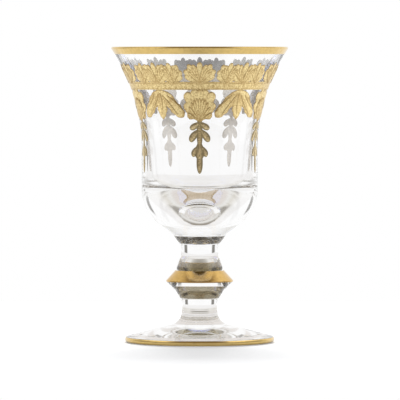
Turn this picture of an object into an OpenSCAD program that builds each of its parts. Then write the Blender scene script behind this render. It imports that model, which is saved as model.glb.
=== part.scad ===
// Footed water glass. A clear bell-shaped bowl with a thick solid base stands on a
// collar, a knopped stem and a round foot, all fused end to end. Fired gold covers the
// rim, the knop's upper bevel and the foot's edge, and a leaf border runs around the bowl.
// Millimetres, +Z up, origin at the centre of the foot on the surface it stands on.

/* [Whole glass] */
// Height of the glass from the surface it stands on to its rim; the flare takes up any change
glass_h = 171.2; // [166:0.2:180]

/* [Foot] */
// Diameter over the glass edge of the foot
foot_d = 86.4; // [78:0.2:94]
// Height of the foot's rounded edge
foot_edge_h = 3.6; // [3:0.1:4.4]
// Slope of the foot's upper face in degrees
foot_slope = 15; // [12:0.5:18]
// Radius of the sweep from the foot up to the stem
foot_sweep_r = 7.5; // [5:0.1:9]
// Width of the flat ring that the foot stands on, around its hollow
foot_ring_w = 4.4; // [3:0.1:8]
// Depth of the hollow under the foot
foot_hollow_h = 1.2; // [0.6:0.1:1.6]

/* [Stem] */
// Diameter of the stem below the knop
lower_stem_d = 21; // [17:0.1:22]
// Length of the stem below the knop
lower_stem_h = 7.8; // [6:0.1:12]
// Diameter of the stem above the knop
upper_stem_d = 22; // [18:0.1:22.2]
// Length of the stem above the knop
upper_stem_h = 8.5; // [6:0.1:12]
// How far each stem draws in at the middle of its length
stem_waist = 0.3; // [0:0.05:0.8]

/* [Knop] */
// Diameter of the knop at its edge
knop_d = 38.6; // [34:0.1:44]
// Diameter where each bevel breaks into the steeper cone
knop_shoulder_d = 28; // [25:0.1:31]
// Diameter of the knop where it meets the stems
knop_neck_d = 22.6; // [22.4:0.1:24]
// Height of the cone below the lower bevel
knop_lower_cone_h = 4.7; // [3:0.1:7]
// Height of the lower bevel
knop_lower_bevel_h = 5; // [3.5:0.1:7]
// Height of the flat edge at the widest place
knop_edge_h = 0.6; // [0.3:0.1:1.2]
// Height of the gilded upper bevel
knop_upper_bevel_h = 5.8; // [4:0.1:8]
// Height of the cone above the upper bevel
knop_upper_cone_h = 7.2; // [5:0.1:9]

/* [Collar] */
// Diameter of the collar where it meets the upper stem
collar_bottom_d = 23.4; // [22.4:0.1:26]
// Diameter of the collar where it meets the bowl
collar_top_d = 30.2; // [27.5:0.1:33]
// Height of the collar's cone
collar_cone_h = 4.4; // [3:0.1:7]
// Height of the straight lip at the top of the collar
collar_lip_h = 0.8; // [0.4:0.1:1.5]

/* [Bowl] */
// Outer diameter of the straight part of the bowl
bowl_d = 67.2; // [64:0.2:72]
// Slope of the underside of the bowl in degrees
bowl_base_slope = 36; // [30:0.5:40]
// Radius of the rounding from the underside to the straight part
bowl_base_r = 24; // [20:0.1:26]
// Height of the straight part of the bowl
barrel_h = 24; // [22:0.1:28]
// Outer diameter of the rim
rim_d = 102.4; // [97:0.2:108]
// Thickness of the rounded lip
lip_t = 1.4; // [1:0.1:2]

/* [Inside of the bowl] */
// Thickness of solid glass below the lowest point of the inside
floor_t = 13.2; // [12:0.1:15]
// Radius of the round bottom of the inside
floor_r = 28.5; // [26:0.1:31]
// Slope of the floor where it leaves the round bottom, in degrees
floor_slope = 47.5; // [45:0.5:50]
// Radius of the corner between floor and wall
floor_corner_r = 12.5; // [10:0.1:14]
// Height of the inner wall's foot above the bottom of the bowl
wall_foot_h = 34.6; // [32:0.1:37]
// Wall thickness at the foot of the inner wall
wall_low_t = 5.5; // [4.8:0.1:6.5]
// Wall thickness at the top of the straight inner wall
wall_high_t = 3.9; // [3:0.1:4.6]
// Height of the straight inner wall above its foot
inner_straight_h = 20; // [16:0.1:24]

/* [Gold bands] */
// Thickness of the gold
gold_t = 0.15; // [0.1:0.01:0.3]
// Height of the gold on the rim
rim_band_h = 4; // [2.5:0.1:5]
// Height of the plain band around the bowl
frieze_band_h = 4.6; // [3:0.1:6]
// Lower end of the gold around the foot's rounded edge, in degrees above level
foot_band_from = -50; // [-60:1:-40]
// Upper end of the gold around the foot's rounded edge, in degrees above level
foot_band_to = 42; // [30:1:60]

/* [Gold border] */
// Clear glass between the rim gold and the crests
rim_gap_h = 3.2; // [2:0.1:4.4]
// Height of the wide crests above the band
wide_crest_h = 12.7; // [11.5:0.1:13.5]
// Height of the small crests above the band
small_crest_h = 11.4; // [10:0.1:11.5]
// Half the angle around the bowl that a small crest takes
small_crest_turn = 13; // [12:0.2:14]
// Height of the palmettes below the band, down to the drops
palmette_h = 18.5; // [16:0.1:20]
// Half the angle around the bowl that a palmette takes
palmette_turn = 15.6; // [14:0.2:17]
// Reach of the leaf sprays below the band
spray_h = 17.2; // [15:0.1:18]
// Length of the drops below the palmettes
drop_h = 29.7; // [28:0.1:32]
// Bare glass between neighbouring motifs
motif_gap = 0.5; // [0.3:0.05:0.8]

/* [Hidden] */
$fn = 96;
// Repeats of the border around the bowl
UNITS = 5;
UNIT_ANGLE = 360 / UNITS;
// Steps along the curve of the gold on the bowl
SKIN_STEPS = 8;

GLASS = [0.90, 0.93, 0.93, 0.35];
POLISHED_GOLD = [0.78, 0.60, 0.28];
ETCHED_GOLD = [0.84, 0.70, 0.42];
DARK_GOLD = [0.60, 0.46, 0.24];

// Points along an arc about centre c, from angle a to angle b
function arc(c, r, a, b, steps) = [
    for (i = [0 : steps])
        let (t = a + (b - a) * i / steps)
            c + r * [cos(t), sin(t)]
];
function reversed(list) = [for (i = [len(list) - 1 : -1 : 0]) list[i]];

// Foot: a rounded edge, a sloping upper face and a sweep that ends upright at the stem
foot_r = foot_d / 2;
foot_edge_r = foot_edge_h / 2;
foot_edge_c = [foot_r - foot_edge_r, foot_edge_r];
lower_stem_r = lower_stem_d / 2;
foot_slope_start = foot_edge_c + foot_edge_r * [sin(foot_slope), cos(foot_slope)];
foot_sweep_x = lower_stem_r + foot_sweep_r;
foot_h = foot_slope_start.y
    + (foot_sweep_r + (foot_slope_start.x - foot_sweep_x) * sin(foot_slope)) / cos(foot_slope);
foot_hollow_slope = 30;
foot_hollow_r = foot_edge_c.x - foot_ring_w;
foot_hollow_top_r = foot_hollow_r - foot_hollow_h / tan(foot_hollow_slope);

// Heights of the joints, from the surface the foot stands on
lower_stem_top = foot_h + lower_stem_h;
knop_h = knop_lower_cone_h + knop_lower_bevel_h + knop_edge_h + knop_upper_bevel_h + knop_upper_cone_h;
knop_top = lower_stem_top + knop_h;
upper_stem_top = knop_top + upper_stem_h;
bowl_bottom = upper_stem_top + collar_cone_h + collar_lip_h;

// Knop: corners of its right-hand outline, bottom to top
knop_r = knop_d / 2;
knop_shoulder_r = knop_shoulder_d / 2;
knop_neck_r = knop_neck_d / 2;
knop_edge_bottom = lower_stem_top + knop_lower_cone_h + knop_lower_bevel_h;
knop_edge_top = knop_edge_bottom + knop_edge_h;
knop_shoulder_top = knop_edge_top + knop_upper_bevel_h;
knop_bevel_angle = atan2(knop_upper_bevel_h, knop_r - knop_shoulder_r);

// Outside of the bowl: sloping underside, rounded base, straight barrel, flare
bowl_r = bowl_d / 2;
rim_r = rim_d / 2;
collar_top_r = collar_top_d / 2;
base_turn = 90 - bowl_base_slope;
base_slope_end_r = bowl_r - bowl_base_r + bowl_base_r * cos(base_turn);
base_slope_end = bowl_bottom + (base_slope_end_r - collar_top_r) * tan(bowl_base_slope);
barrel_bottom = base_slope_end + bowl_base_r * sin(base_turn);
barrel_top = barrel_bottom + barrel_h;
rim_z = glass_h;

// Lip: a small round that touches the rim's diameter and ends the flared wall
lip_r = lip_t / 2;
lip_c = [rim_r - lip_r, rim_z - lip_r];
lip_out = lip_c.x - bowl_r;
lip_up = lip_c.y - barrel_top;
flare_r = (lip_out * lip_out + lip_up * lip_up - lip_r * lip_r) / (2 * (lip_out + lip_r));
flare_c = [bowl_r + flare_r, barrel_top];
lip_angle = asin(lip_up / (flare_r + lip_r));
lip_outer = -lip_angle;
lip_inner = 180 - lip_angle;
lip_inner_end = lip_c + lip_r * [cos(lip_inner), sin(lip_inner)];

// Inside of the bowl: round bottom, sloping floor, corner, tapered wall, flare up to the lip
floor_c = [0, bowl_bottom + floor_t + floor_r];
floor_up = [-sin(floor_slope), cos(floor_slope)];
floor_turn = floor_slope - 90;
wall_low = [bowl_r - wall_low_t, bowl_bottom + wall_foot_h];
wall_high = [bowl_r - wall_high_t, wall_low.y + inner_straight_h];
taper = atan2(wall_high.x - wall_low.x, wall_high.y - wall_low.y);
along = [sin(taper), cos(taper)];
inward = [-cos(taper), sin(taper)];
corner_start = wall_low + floor_corner_r * inward;
corner_slide = (floor_corner_r - floor_r - (corner_start - floor_c) * floor_up) / (along * floor_up);
corner_c = corner_start + corner_slide * along;
inner_chord = lip_inner_end - wall_high;
inner_chord_angle = atan2(inner_chord.x, inner_chord.y);
inner_flare_r = norm(inner_chord) / (2 * sin(inner_chord_angle - taper));
inner_flare_c = wall_high + inner_flare_r * [cos(taper), -sin(taper)];
inner_flare_end = 2 * inner_chord_angle - taper;

// Levels of the gold border, from the rim down
frieze_top = rim_z - rim_band_h - rim_gap_h - wide_crest_h;
frieze_bottom = frieze_top - frieze_band_h;
palmette_bottom = frieze_bottom - palmette_h;
drop_bottom = palmette_bottom - drop_h;

// Angle on the flare's circle at height z, and the bowl's outer radius there
function flare_angle(z) = 180 - asin((z - barrel_top) / flare_r);
function bowl_out(z) = flare_c.x + flare_r * cos(flare_angle(max(z, barrel_top)));

// Half width of a motif that takes the given half angle at height z
function half_width(turn, z) = bowl_out(z) * sin(turn) - motif_gap / 2;
small_crest_w = half_width(small_crest_turn, frieze_top);
wide_crest_w = half_width(UNIT_ANGLE / 2 - small_crest_turn, frieze_top);
palmette_w = half_width(palmette_turn, palmette_bottom);
spray_w = half_width(UNIT_ANGLE / 2 - palmette_turn, palmette_bottom);
// How far a motif runs on under the band or motif that it joins, where it is trimmed
tuck = 1;
// Half widths of the necks where a palmette hangs from the band and a drop from its palmette
palmette_neck = 3.4;
drop_neck = 2;
// Height of the palmette's neck
palmette_neck_h = 3.4;
// Lobes of each fan on one side of its middle, in degrees off the upright
PALMETTE_LOBES = [18, 40, 62, 83];
CREST_LOBES = [0, 20, 40, 60, 80];
SIDE_FAN_LOBES = [-75, -50, -25, 0, 25, 50, 75];
lobe_w = 5.4;
crest_lobe_w = 4.3;
side_lobe_w = 3.8;
// Fans of a wide crest: half width of the middle one, place and size of the side ones, as shares
middle_fan_w = 0.56;
side_fan_x = 0.62;
side_fan_w = 0.38;
side_fan_h = 0.92;
// Slits pierced between the lobes of the crests, as shares of the lobes' length
CREST_SLITS = [30, 50, 70];
slit_from = 0.4;
slit_to = 0.7;
slit_w = 0.9;
// Leaf spray: its hub, and where its leaves start
spray_hub_r = 4;
spray_hub_rise = 0.4;
spray_root = 1.6;
middle_leaf_w = 7.4;
side_leaf_w = 7.6;
side_leaf_x = 1.4;
side_leaf_rise = 1.4;
// Drop: half width of the rib at its end, and places measured down from the palmette
rib_half_w = 1.2;
rib_end = 9;
husk_reach = 5.6;
upper_husk_w = 3;
upper_husk_root = 0.6;
upper_husk_tip = 3.8;
lower_husk_w = 3.4;
lower_husk_root = 4;
lower_husk_tip = 11;
bell_w = 5.8;
bell_root = 6;
bell_end = 20.8;
curl_r = 1.6;
curl_x = 2.6;
curl_y = 18.6;
// Half widths of the drop's tip where it leaves the bell and at its round end
tip_root_w = 1.8;
tip_root = 18.4;
tip_r = 1.2;

module revolve() {
    rotate_extrude($fn = 180)
        children();
}

// Glass pieces, bottom to top
module foot() {
    color(GLASS)
        revolve()
            polygon(concat(
                [[0, foot_hollow_h], [foot_hollow_top_r, foot_hollow_h], [foot_hollow_r, 0]],
                arc(foot_edge_c, foot_edge_r, -90, 90 - foot_slope, 16),
                arc([foot_sweep_x, foot_h], foot_sweep_r, 270 - foot_slope, 180, 12),
                [[0, foot_h]]
            ));
}

// A length of stem that draws in slightly at its middle
module stem(r, bottom, height) {
    waist_r = (height * height / 4 + stem_waist * stem_waist) / (2 * max(stem_waist, 0.001));
    waist_c = [r - stem_waist + waist_r, bottom + height / 2];
    half_turn = asin(height / 2 / waist_r);
    revolve()
        polygon(concat(
            [[0, bottom]],
            arc(waist_c, waist_r, 180 + half_turn, 180 - half_turn, 8),
            [[0, bottom + height]]
        ));
}

module lower_stem() {
    color(GLASS)
        stem(lower_stem_r, foot_h, lower_stem_h);
}

module knop() {
    color(GLASS)
        revolve()
            polygon([
                [0, lower_stem_top],
                [knop_neck_r, lower_stem_top],
                [knop_shoulder_r, lower_stem_top + knop_lower_cone_h],
                [knop_r, knop_edge_bottom],
                [knop_r, knop_edge_top],
                [knop_shoulder_r, knop_shoulder_top],
                [knop_neck_r, knop_top],
                [0, knop_top]
            ]);
}

module upper_stem() {
    color(GLASS)
        stem(upper_stem_d / 2, knop_top, upper_stem_h);
}

module collar() {
    color(GLASS)
        revolve()
            polygon([
                [0, upper_stem_top],
                [collar_bottom_d / 2, upper_stem_top],
                [collar_top_r, upper_stem_top + collar_cone_h],
                [collar_top_r, bowl_bottom],
                [0, bowl_bottom]
            ]);
}

module bowl() {
    color(GLASS)
        revolve()
            polygon(concat(
                [[0, bowl_bottom], [collar_top_r, bowl_bottom]],
                arc([bowl_r - bowl_base_r, barrel_bottom], bowl_base_r, -base_turn, 0, 14),
                arc(flare_c, flare_r, 180, 180 - lip_angle, 30),
                arc(lip_c, lip_r, lip_outer, lip_inner, 8),
                reversed([
                    for (i = [0 : 23])
                        let (t = taper + (inner_flare_end - taper) * i / 24)
                            inner_flare_c + inner_flare_r * [-cos(t), sin(t)]
                ]),
                arc(corner_c, floor_corner_r, -taper, floor_turn, 8),
                arc(floor_c, floor_r, floor_turn, -90, 12)
            ));
}

// Gold bands that run all the way round
module foot_band() {
    color(POLISHED_GOLD)
        revolve()
            polygon(concat(
                arc(foot_edge_c, foot_edge_r + gold_t, foot_band_from, foot_band_to, 14),
                arc(foot_edge_c, foot_edge_r, foot_band_to, foot_band_from, 14)
            ));
}

module knop_band() {
    out = gold_t * [sin(knop_bevel_angle), cos(knop_bevel_angle)];
    edge_rise = gold_t * tan((90 - knop_bevel_angle) / 2);
    color(POLISHED_GOLD)
        revolve()
            polygon([
                [knop_r, knop_edge_bottom],
                [knop_r + gold_t, knop_edge_bottom],
                [knop_r + gold_t, knop_edge_top + edge_rise],
                [knop_shoulder_r, knop_shoulder_top] + out,
                [knop_shoulder_r, knop_shoulder_top],
                [knop_r, knop_edge_top]
            ]);
}

module rim_band() {
    from = flare_angle(rim_z - rim_band_h);
    color(POLISHED_GOLD)
        revolve()
            polygon(concat(
                arc(flare_c, flare_r - gold_t, from, 180 - lip_angle, 6),
                arc(lip_c, lip_r + gold_t, lip_outer, lip_inner, 8),
                arc(lip_c, lip_r, lip_inner, lip_outer, 8),
                arc(flare_c, flare_r, 180 - lip_angle, from, 6)
            ));
}

// A skin of gold on the outside of the bowl between two heights
module gold_skin(bottom, top) {
    from = flare_angle(max(bottom, barrel_top));
    to = flare_angle(top);
    straight = bottom < barrel_top ? [[bowl_r, bottom], [bowl_r + gold_t, bottom]] : [];
    revolve()
        polygon(concat(
            straight,
            arc(flare_c, flare_r - gold_t, from, to, SKIN_STEPS),
            arc(flare_c, flare_r, to, from, SKIN_STEPS)
        ));
}

module frieze_band() {
    color(ETCHED_GOLD)
        gold_skin(frieze_bottom, frieze_top);
}

// The part of the gold skin inside a flat outline at the front, turned to its place.
// The outline's x runs around the bowl and its y is the height.
module gold_motif(turn, bottom, top) {
    rotate(turn)
        intersection() {
            gold_skin(bottom, top);
            rotate([90, 0, 0])
                linear_extrude(rim_r)
                    children();
        }
}

// A pointed leaf from one point to another
module leaf(from, to, width) {
    length = norm(to - from);
    r = (length * length + width * width) / (4 * width);
    translate((from + to) / 2)
        rotate(atan2(to.y - from.y, to.x - from.x))
            intersection() {
                translate([0, r - width / 2])
                    circle(r);
                translate([0, width / 2 - r])
                    circle(r);
            }
}

// A round-ended leaf from one point to another, which widens to its end
module lobe(from, to, width) {
    r = width / 2;
    neck = norm(to - from) - r;
    translate(from)
        rotate(atan2(to.y - from.y, to.x - from.x)) {
            translate([neck, 0])
                circle(r);
            polygon([[0, 0], [neck, -r], [neck, r]]);
        }
}

// Lobes that spread from a point like the ribs of a shell, each given as degrees off
// the upright, with their ends on an ellipse
module fan(from, half_w, height, turns, width) {
    for (turn = turns)
        lobe(from, from + [half_w * sin(turn), height * cos(turn)], width);
}

// Narrow slits that spread from a point in the same way
module slits(from, half_w, height, turns) {
    for (turn = turns) {
        reach = [half_w * sin(turn), height * cos(turn)];
        leaf(from + slit_from * reach, from + slit_to * reach, slit_w);
    }
}

// The shape given, and its mirror image beside it
module both_sides() {
    children();
    mirror([1, 0])
        children();
}

// Fan of lobes below the band, closing in to the neck of the drop
module palmette(i) {
    hub = [0, -palmette_neck_h];
    color(ETCHED_GOLD)
        gold_motif((i - 1) * UNIT_ANGLE, palmette_bottom, frieze_bottom)
            translate([0, frieze_bottom]) {
                translate([-palmette_neck, hub.y])
                    square([2 * palmette_neck, palmette_neck_h + tuck]);
                translate([-drop_neck, -palmette_h - tuck])
                    square([2 * drop_neck, palmette_h]);
                both_sides()
                    fan(hub, palmette_w, -palmette_h - hub.y, PALMETTE_LOBES, lobe_w);
            }
}

// Two pairs of husks on a rib, a bell with a curled lip, and a tapering tip
module drop(i) {
    tip_y = tip_r - drop_h;
    color(DARK_GOLD)
        gold_motif((i - 1) * UNIT_ANGLE, drop_bottom, palmette_bottom)
            translate([0, palmette_bottom]) {
                polygon([
                    [-rib_half_w, -rib_end],
                    [rib_half_w, -rib_end],
                    [drop_neck, tuck],
                    [-drop_neck, tuck]
                ]);
                both_sides() {
                    lobe([0, -upper_husk_root], [husk_reach, -upper_husk_tip], upper_husk_w);
                    lobe([0, -lower_husk_root], [husk_reach, -lower_husk_tip], lower_husk_w);
                    translate([curl_x, -curl_y])
                        circle(curl_r);
                }
                lobe([0, -bell_root], [0, -bell_end], bell_w);
                polygon([
                    [-tip_r, tip_y],
                    [tip_r, tip_y],
                    [tip_root_w, -tip_root],
                    [-tip_root_w, -tip_root]
                ]);
                translate([0, tip_y])
                    circle(tip_r);
            }
}

// Three long leaves that spread from a round hub below the band
module leaf_spray(i) {
    color(ETCHED_GOLD)
        gold_motif((i - 0.5) * UNIT_ANGLE, frieze_bottom - spray_h, frieze_bottom)
            translate([0, frieze_bottom]) {
                translate([0, spray_hub_rise - spray_hub_r])
                    circle(spray_hub_r);
                leaf([0, -spray_root], [0, -spray_h], middle_leaf_w);
                both_sides()
                    leaf([side_leaf_x, -spray_root], [spray_w, side_leaf_rise - spray_h], side_leaf_w);
            }
}

// A fan on the band with slits between its lobes
module crest(half_w, height) {
    root = [0, -tuck];
    both_sides()
        difference() {
            fan(root, half_w, height - root.y, CREST_LOBES, crest_lobe_w);
            slits(root, half_w, height - root.y, CREST_SLITS);
        }
}

// Small crest above each palmette
module small_crest(i) {
    color(ETCHED_GOLD)
        gold_motif((i - 1) * UNIT_ANGLE, frieze_top, frieze_top + small_crest_h)
            translate([0, frieze_top])
                crest(small_crest_w, small_crest_h);
}

// Wide crest above each leaf spray: a middle fan between two lower ones
module wide_crest(i) {
    side_root = [side_fan_x * wide_crest_w, -tuck];
    side_w = side_fan_w * wide_crest_w;
    side_h = side_fan_h * small_crest_h - side_root.y;
    color(ETCHED_GOLD)
        gold_motif((i - 0.5) * UNIT_ANGLE, frieze_top, frieze_top + wide_crest_h)
            translate([0, frieze_top]) {
                crest(middle_fan_w * wide_crest_w, wide_crest_h);
                both_sides()
                    fan(side_root, side_w, side_h, SIDE_FAN_LOBES, side_lobe_w);
            }
}

foot();
lower_stem();
knop();
upper_stem();
collar();
bowl();
foot_band();
knop_band();
rim_band();
frieze_band();
for (i = [1 : UNITS]) {
    palmette(i);
    drop(i);
    leaf_spray(i);
    small_crest(i);
    wide_crest(i);
}
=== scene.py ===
from math import acos, asin, atan2, cos, hypot, pi, radians, sin, tan, tau

import bmesh
import bpy
from bpy.props import FloatProperty, FloatVectorProperty, IntProperty, PointerProperty
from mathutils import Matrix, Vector


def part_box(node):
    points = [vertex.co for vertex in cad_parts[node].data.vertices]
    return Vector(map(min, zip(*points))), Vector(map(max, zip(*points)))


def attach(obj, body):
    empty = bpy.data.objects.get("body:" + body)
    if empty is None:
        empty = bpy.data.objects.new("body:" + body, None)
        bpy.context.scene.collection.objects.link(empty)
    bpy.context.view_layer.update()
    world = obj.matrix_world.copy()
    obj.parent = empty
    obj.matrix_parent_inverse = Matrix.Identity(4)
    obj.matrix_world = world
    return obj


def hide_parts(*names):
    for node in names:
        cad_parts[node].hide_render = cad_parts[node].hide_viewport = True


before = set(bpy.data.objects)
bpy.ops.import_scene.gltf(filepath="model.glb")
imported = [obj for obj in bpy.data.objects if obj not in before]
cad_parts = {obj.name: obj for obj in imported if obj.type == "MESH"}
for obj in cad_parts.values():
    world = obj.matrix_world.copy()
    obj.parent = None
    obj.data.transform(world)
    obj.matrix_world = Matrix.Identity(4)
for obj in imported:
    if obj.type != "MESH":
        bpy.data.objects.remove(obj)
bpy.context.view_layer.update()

bl_info = {
    "name": "Gilded water glass",
    "version": (1, 0, 0),
    "blender": (4, 5, 0),
    "location": "3D View > Sidebar > Water Glass",
    "description": "Footed crystal water glass with a fired gold border",
    "category": "Object",
}

MM = 0.001
BODY = "root"
REPEATS = 5
REPEAT_TURN = tau / REPEATS
# Gold is sunk this far into the glass, so that the two surfaces never coincide
SINK = 0.02 * MM
# Points nearer than this count as one, and a turned piece merges its points within WELD
NEAR = 1e-6
WELD = 2e-6
# Corners flatter than this half angle stay as they are, and faces meet smoothly up to these angles
FLAT_CORNER = radians(88)
TURNED_SMOOTH = radians(30)
RELIEF_SMOOTH = radians(40)
# The ring under the foot meets the hollow on a slope with soft edges
HOLLOW_SLOPE = radians(30)
HOLLOW_ROUND = 0.8 * MM
CRYSTAL_IOR = 1.52


def top_of(node):
    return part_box(node)[1].z


def bottom_of(node):
    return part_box(node)[0].z


def radius_of(node):
    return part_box(node)[1].x


def length_prop(name, description, mm):
    return FloatProperty(name=name, description=description, default=mm * MM, unit="LENGTH")


def angle_prop(name, description, turn):
    """An angle, with its default in degrees"""
    return FloatProperty(name=name, description=description, default=radians(turn), subtype="ANGLE")


def colour_prop(name, description, colour):
    return FloatVectorProperty(name=name, description=description, default=colour, subtype="COLOR", min=0, max=1)


class GlassSizes(bpy.types.PropertyGroup):
    """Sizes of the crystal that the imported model's boxes don't give"""

    foot_edge: length_prop("Foot edge", "Height of the foot's rounded edge", 3.6)
    foot_slope: angle_prop("Foot slope", "Slope of the foot's upper face", 15)
    foot_sweep: length_prop("Foot sweep", "Radius of the sweep from foot to stem", 7.5)
    foot_ring: length_prop("Standing ring", "Width of the flat ring under the foot", 4.4)
    foot_hollow: length_prop("Foot hollow", "Depth of the hollow under the foot", 1.2)
    stem_waist: length_prop("Stem waist", "How far each stem draws in", 0.3)
    knop_shoulder: length_prop("Knop shoulder", "Radius where the bevels meet the cones", 14)
    knop_neck: length_prop("Knop neck", "Radius of the knop at the stems", 11.3)
    knop_low_cone: length_prop("Lower cone", "Height of the knop's lower cone", 4.7)
    knop_low_bevel: length_prop("Lower bevel", "Height of the knop's lower bevel", 5.0)
    knop_edge: length_prop("Knop edge", "Height of the knop's flat edge", 0.6)
    knop_high_bevel: length_prop("Upper bevel", "Height of the knop's gilded bevel", 5.8)
    collar_foot: length_prop("Collar foot", "Radius of the collar at the stem", 11.7)
    collar_lip: length_prop("Collar lip", "Height of the collar's straight lip", 0.8)
    barrel: length_prop("Barrel", "Outer radius of the bowl's straight part", 33.6)
    barrel_height: length_prop("Barrel height", "Height of the bowl's straight part", 24)
    base_slope: angle_prop("Base slope", "Slope of the bowl's underside", 36)
    base_round: length_prop("Base round", "Radius from underside to barrel", 24)
    lip: length_prop("Lip", "Thickness of the rounded lip", 1.4)
    floor_glass: length_prop("Solid base", "Solid glass below the inside", 13.2)
    floor_slope: angle_prop("Floor slope", "Slope of the funnel-shaped floor", 47.5)
    floor_tip: length_prop("Floor tip", "Radius at the bottom of the inside", 28.5)
    floor_corner: length_prop("Floor corner", "Radius between floor and wall", 12.5)
    floor_depth: length_prop("Wall foot", "Height of the inner wall's foot above the bowl's bottom", 34.6)
    wall_low: length_prop("Low wall", "Wall thickness at the floor", 5.5)
    wall_high: length_prop("High wall", "Wall thickness where the flare starts inside", 3.9)
    wall_straight: length_prop("Inner straight", "Height of the straight inner wall", 20)
    crisp: length_prop("Edge round", "Small round on the cut edges", 0.25)
    segments: IntProperty(name="Segments", description="Steps around the axis", default=160, min=48, max=256)


class GoldSizes(bpy.types.PropertyGroup):
    """Sizes of the gilding"""

    thickness: length_prop("Thickness", "Thickness of the plain gold", 0.15)
    relief: length_prop("Relief", "Height of the etched leaves", 0.3)
    band_from: angle_prop("Foot gold from", "Lower end of the gold around the foot's edge", -50)
    band_to: angle_prop("Foot gold to", "Upper end of the gold around the foot's edge", 42)
    lobe_width: length_prop("Lobe width", "Width of the lobes of fans", 5.4)
    palmette_neck: length_prop("Palmette neck", "Half width of a palmette's neck", 3.4)


class Finishes(bpy.types.PropertyGroup):
    """Colours of the glass, the gold and the stage"""

    crystal: colour_prop("Crystal", "Tint of the glass", (1.0, 1.0, 1.0))
    polished: colour_prop("Polished gold", "Burnished gold", (0.80, 0.57, 0.21))
    bronzed: colour_prop("Knop gold", "Warmer burnished gold of the knop", (0.72, 0.46, 0.15))
    etched: colour_prop("Etched gold", "Satin gold of the border", (1.0, 0.81, 0.41))
    # shade is the colour of the painted shade in the chased gold's grooves and along its edges
    shade: colour_prop("Gold shade", "Gold in the grooves of the etching", (0.55, 0.38, 0.16))
    # The drops' own colour; their darker look comes from a deeper painted shade in their grooves
    dark: colour_prop("Dark gold", "Gold of the drops", (1.0, 0.8, 0.44))
    underside: colour_prop("Gold underside", "Gold seen through the glass", (0.72, 0.68, 0.63))
    floor: colour_prop("Floor", "Pale floor", (0.9, 0.905, 0.915))


# Outlines, as (radius, height) points


def arc(centre, r, a, b, steps):
    """Points on an arc about centre, from angle a to angle b"""
    return [(centre[0] + r * cos(a + (b - a) * i / steps), centre[1] + r * sin(a + (b - a) * i / steps))
            for i in range(steps + 1)]


def soften(points, r, steps=4):
    """The same outline with each inner corner rounded to radius r"""
    out = [points[0]]
    for before, at, after in zip(points, points[1:], points[2:]):
        p, a, b = Vector(at), Vector(before), Vector(after)
        u, v = (a - p).normalized(), (b - p).normalized()
        half = acos(max(-1, min(1, u.dot(v)))) / 2
        cut = r / tan(half)
        if half > FLAT_CORNER:
            out.append(at)
            continue
        centre = p + (u + v).normalized() * (r / sin(half))
        start, end = p + u * cut - centre, p + v * cut - centre
        first = atan2(start.y, start.x)
        turn = (atan2(end.y, end.x) - first + pi) % tau - pi
        out += arc(centre, r, first, first + turn, steps)
    return out + [points[-1]]


class Bell:
    """The bowl's outer curve: underside, rounded base, barrel, flare and lip"""

    def __init__(self, sizes):
        self.bottom = bottom_of("bowl")
        self.rim_z = top_of("bowl")
        self.rim_r = radius_of("bowl")
        self.collar_r = radius_of("collar")
        self.barrel = sizes.barrel
        turn = pi / 2 - sizes.base_slope
        self.base_turn = turn
        self.base_round = sizes.base_round
        slope_end_r = self.barrel - sizes.base_round * (1 - cos(turn))
        slope_end = self.bottom + (slope_end_r - self.collar_r) * tan(sizes.base_slope)
        self.barrel_bottom = slope_end + sizes.base_round * sin(turn)
        self.barrel_top = self.barrel_bottom + sizes.barrel_height
        self.lip_r = sizes.lip / 2
        self.lip_c = (self.rim_r - self.lip_r, self.rim_z - self.lip_r)
        out, up = self.lip_c[0] - self.barrel, self.lip_c[1] - self.barrel_top
        self.flare_r = (out * out + up * up - self.lip_r ** 2) / (2 * (out + self.lip_r))
        self.flare_c = (self.barrel + self.flare_r, self.barrel_top)
        self.lip_angle = asin(up / (self.flare_r + self.lip_r))

    def angle(self, z):
        """Angle on the flare's circle at height z"""
        return pi - asin((max(z, self.barrel_top) - self.barrel_top) / self.flare_r)

    def radius(self, z):
        """Outer radius of the glass at height z"""
        return self.flare_c[0] + self.flare_r * cos(self.angle(z))


def inner_wall(sizes, bell):
    """Inside of the bowl, from the lip down to the middle of the floor"""
    low = Vector((bell.barrel - sizes.wall_low, bell.bottom + sizes.floor_depth))
    high = Vector((bell.barrel - sizes.wall_high, low.y + sizes.wall_straight))
    taper = atan2(high.x - low.x, high.y - low.y)
    along, inward = Vector((sin(taper), cos(taper))), Vector((-cos(taper), sin(taper)))
    slope = sizes.floor_slope
    tip_c = Vector((0, bell.bottom + sizes.floor_glass + sizes.floor_tip))
    up = Vector((-sin(slope), cos(slope)))
    start = low + sizes.floor_corner * inward
    slide = (sizes.floor_corner - sizes.floor_tip - (start - tip_c).dot(up)) / along.dot(up)
    corner_c = start + slide * along
    lip_end = Vector(arc(bell.lip_c, bell.lip_r, pi - bell.lip_angle, pi - bell.lip_angle, 1)[0])
    chord = lip_end - high
    chord_angle = atan2(chord.x, chord.y)
    flare_r = chord.length / (2 * sin(chord_angle - taper))
    flare_c = high + flare_r * Vector((cos(taper), -sin(taper)))
    flare = [(flare_c.x - flare_r * cos(t), flare_c.y + flare_r * sin(t))
             for t in (taper + (2 * chord_angle - 2 * taper) * i / 40 for i in range(40))]
    wall = arc(corner_c, sizes.floor_corner, -taper, slope - pi / 2, 16)
    straight = [(high.x + (wall[0][0] - high.x) * i / 6, high.y + (wall[0][1] - high.y) * i / 6) for i in range(1, 6)]
    return flare[::-1] + straight + wall + arc(tip_c, sizes.floor_tip, slope - pi / 2, -pi / 2, 16)


# Modelling


def deselect():
    if bpy.context.object and bpy.context.object.mode != "OBJECT":
        bpy.ops.object.mode_set(mode="OBJECT")
    bpy.ops.object.select_all(action="DESELECT")


def only(obj):
    """Selects one object and makes it active"""
    deselect()
    obj.select_set(True)
    bpy.context.view_layer.objects.active = obj


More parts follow.
